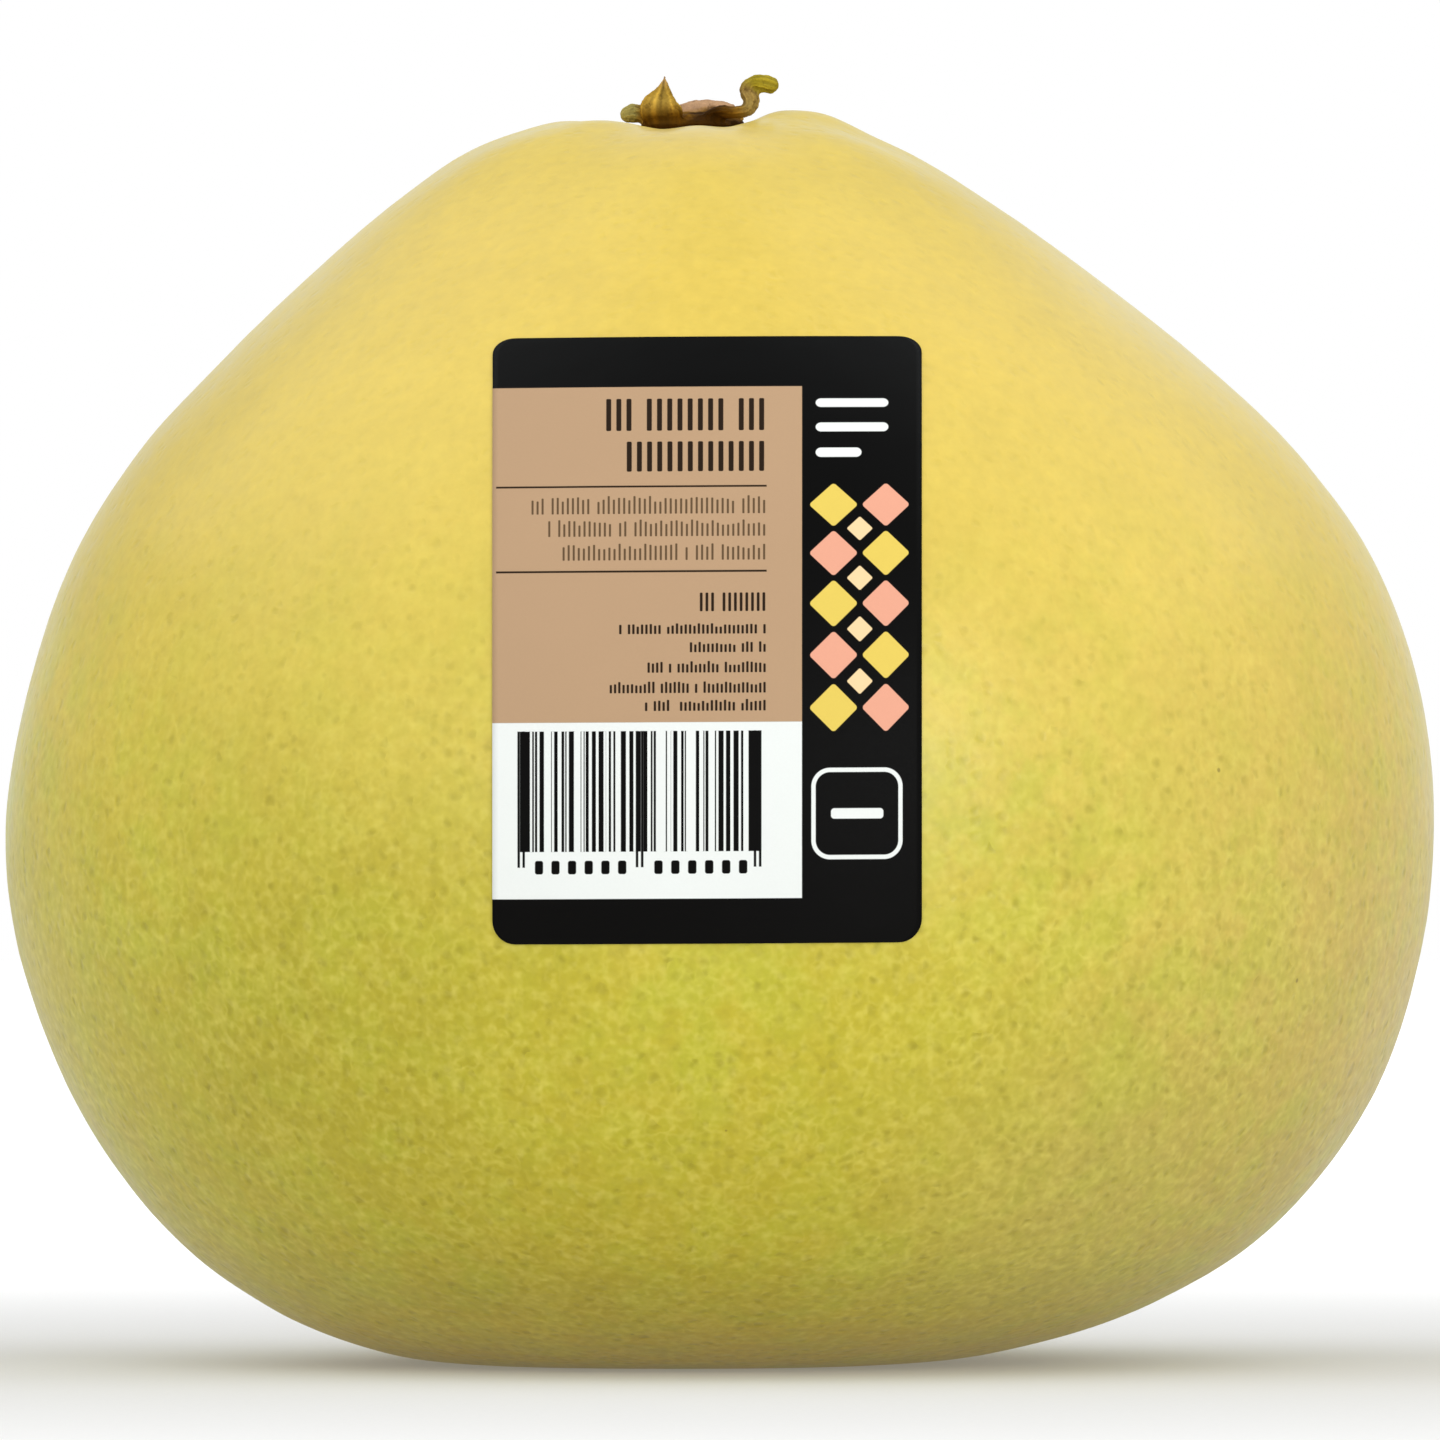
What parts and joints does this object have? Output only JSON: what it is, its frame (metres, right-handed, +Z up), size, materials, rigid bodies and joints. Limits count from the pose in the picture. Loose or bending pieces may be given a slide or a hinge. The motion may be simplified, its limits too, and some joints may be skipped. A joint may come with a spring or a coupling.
{
  "type": "pomelo",
  "caption": "Large squat pear-shaped citrus fruit with a dried calyx in a shallow dip at the top and a printed sticker bent over its front.",
  "frame": {"origin": "on the surface that the fruit rests on, under the middle of its box", "axes": "+Z up from the blossom end to the stem end, -Y out of the sticker, +X to the right as seen from the sticker's side"},
  "size_m": [0.1719, 0.1671, 0.1548],
  "materials": {
    "rind": "satin",
    "dried_calyx": "matte",
    "sticker": "satin"
  },
  "bodies": {
    "root": {"fruit": "rind", "calyx": "dried_calyx", "label": "sticker"}
  },
  "joints": []
}
